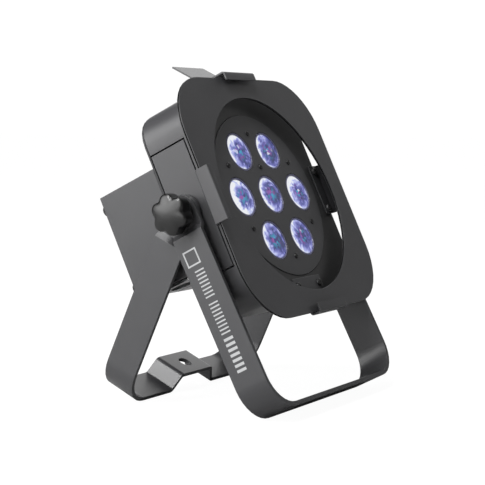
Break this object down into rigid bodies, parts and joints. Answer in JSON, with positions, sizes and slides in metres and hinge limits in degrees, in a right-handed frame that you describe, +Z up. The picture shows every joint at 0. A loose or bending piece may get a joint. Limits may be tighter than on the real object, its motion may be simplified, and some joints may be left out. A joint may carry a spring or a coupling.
{
  "type": "par can light",
  "caption": "Flat LED par can: square housing with round lens cluster and gel frame, on a folding double yoke that is floor stand and hanging bracket.",
  "frame": {"origin": "on the floor under the middle of the lamp's bounding box, with the yokes spread as a floor stand", "axes": "+Z up, +X the lamp's right seen from its front, -Y the way the front yoke leans and the light leaves"},
  "size_m": [0.2112, 0.1601, 0.2447],
  "materials": {
    "black_coat": "fine-textured satin powder coat",
    "zinc_steel": "zinc plated",
    "aluminium": "extruded, matt",
    "black_plastic": "satin moulded",
    "rubber": "matt",
    "lens": "moulded clear collimator",
    "window": "smoked",
    "circuit_board": "solder mask",
    "fibre": "matt pressed fibre"
  },
  "bodies": {
    "rear_yoke": {"rear_yoke": "black_coat"},
    "front_yoke": {"front_yoke": "black_coat"},
    "housing": {"front_shell": "black_coat", "side_panel_left": "black_coat", "side_panel_right": "black_coat", "back_plate": "black_coat", "rear_box": "black_coat", "rear_cover": "black_coat", "foot_1": "rubber", "foot_2": "rubber", "foot_3": "rubber", "foot_4": "rubber", "lens_plate": "black_coat", "lens_1": "lens", "lens_2": "lens", "lens_3": "lens", "lens_4": "lens", "lens_5": "lens", "lens_6": "lens", "lens_7": "lens", "led_board": "aluminium", "heat_sink": "aluminium", "driver_board": "circuit_board", "power_supply": "circuit_board", "gel_frame": "black_coat", "clip_left": "black_coat", "clip_right": "black_coat", "clip_bottom": "black_coat", "clip_bracket": "black_coat", "clip_pin": "zinc_steel", "clip_spring": "zinc_steel", "pivot_insert_left": "zinc_steel", "pivot_insert_right": "zinc_steel", "friction_washer_left": "fibre", "friction_washer_right": "fibre", "power_in": "black_plastic", "power_out": "black_plastic", "data_in": "zinc_steel", "data_out": "zinc_steel", "fuse_holder": "black_plastic", "display_window": "window", "menu_board": "circuit_board", "safety_eye": "zinc_steel"},
    "top_clip": {"top_clip": "black_coat"},
    "knob_left_washer": {"knob_washer_left": "zinc_steel"},
    "knob_left": {"knob_left": "black_plastic"},
    "knob_right_washer": {"knob_washer_right": "zinc_steel"},
    "knob_right": {"knob_right": "black_plastic"},
    "fuse_cap": {"fuse_cap": "black_plastic"},
    "data_latch": {"data_latch": "zinc_steel"},
    "button_1": {"button_1": "black_plastic"},
    "button_2": {"button_2": "black_plastic"},
    "button_3": {"button_3": "black_plastic"},
    "button_4": {"button_4": "black_plastic"}
  },
  "joints": [
    {"name": "front_yoke_fold", "type": "hinge", "parent": "rear_yoke", "child": "front_yoke", "pos_m": [0, 0.0016, 0.14073], "axis": [1, 0, 0], "range_deg": [0, 52.07]},
    {"name": "housing_tilt", "type": "hinge", "parent": "rear_yoke", "child": "housing", "pos_m": [0, 0.0016, 0.14073], "axis": [-1, 0, 0], "range_deg": [-9, 105]},
    {"name": "top_clip_flip", "type": "hinge", "parent": "housing", "child": "top_clip", "pos_m": [0, 0.02554, 0.22459], "axis": [-1, 0, 0], "range_deg": [0, 50], "stiffness_Nm_per_rad": 0.03, "springref_deg": -22.92, "deforming": ["clip_spring"]},
    {"name": "knob_left_travel", "type": "slide", "parent": "housing", "child": "knob_left_washer", "axis": [-1, 0, 0], "range_m": [0, 0.0025]},
    {"name": "knob_left_turn", "type": "hinge", "parent": "knob_left_washer", "child": "knob_left", "pos_m": [-0.098, 0.0016, 0.14073], "axis": [-1, 0, 0], "range_deg": [0, 720]},
    {"name": "knob_right_travel", "type": "slide", "parent": "housing", "child": "knob_right_washer", "axis": [1, 0, 0], "range_m": [0, 0.0025]},
    {"name": "knob_right_turn", "type": "hinge", "parent": "knob_right_washer", "child": "knob_right", "pos_m": [0.098, 0.0016, 0.14073], "axis": [1, 0, 0], "range_deg": [0, 720]},
    {"name": "button_1_press", "type": "slide", "parent": "housing", "child": "button_1", "axis": [0, -0.9026, 0.4305], "range_m": [0, 0.001], "stiffness_N_per_m": 300, "springref_m": -0.0005},
    {"name": "button_2_press", "type": "slide", "parent": "housing", "child": "button_2", "axis": [0, -0.9026, 0.4305], "range_m": [0, 0.001], "stiffness_N_per_m": 300, "springref_m": -0.0005},
    {"name": "button_3_press", "type": "slide", "parent": "housing", "child": "button_3", "axis": [0, -0.9026, 0.4305], "range_m": [0, 0.001], "stiffness_N_per_m": 300, "springref_m": -0.0005},
    {"name": "button_4_press", "type": "slide", "parent": "housing", "child": "button_4", "axis": [0, -0.9026, 0.4305], "range_m": [0, 0.001], "stiffness_N_per_m": 300, "springref_m": -0.0005},
    {"name": "data_latch_press", "type": "slide", "parent": "housing", "child": "data_latch", "axis": [0, 0.4305, 0.9026], "range_m": [0, 0.0015], "stiffness_N_per_m": 400, "springref_m": -0.0005},
    {"name": "fuse_cap_turn", "type": "hinge", "parent": "housing", "child": "fuse_cap", "pos_m": [-0.009, 0.01607, 0.08396], "axis": [0, -0.4305, -0.9026], "range_deg": [0, 90]}
  ],
  "couplings": [
    {"joint": "knob_left_travel", "follows": "knob_left_turn", "m_per_rad": 0.00019894},
    {"joint": "knob_right_travel", "follows": "knob_right_turn", "m_per_rad": 0.00019894}
  ]
}
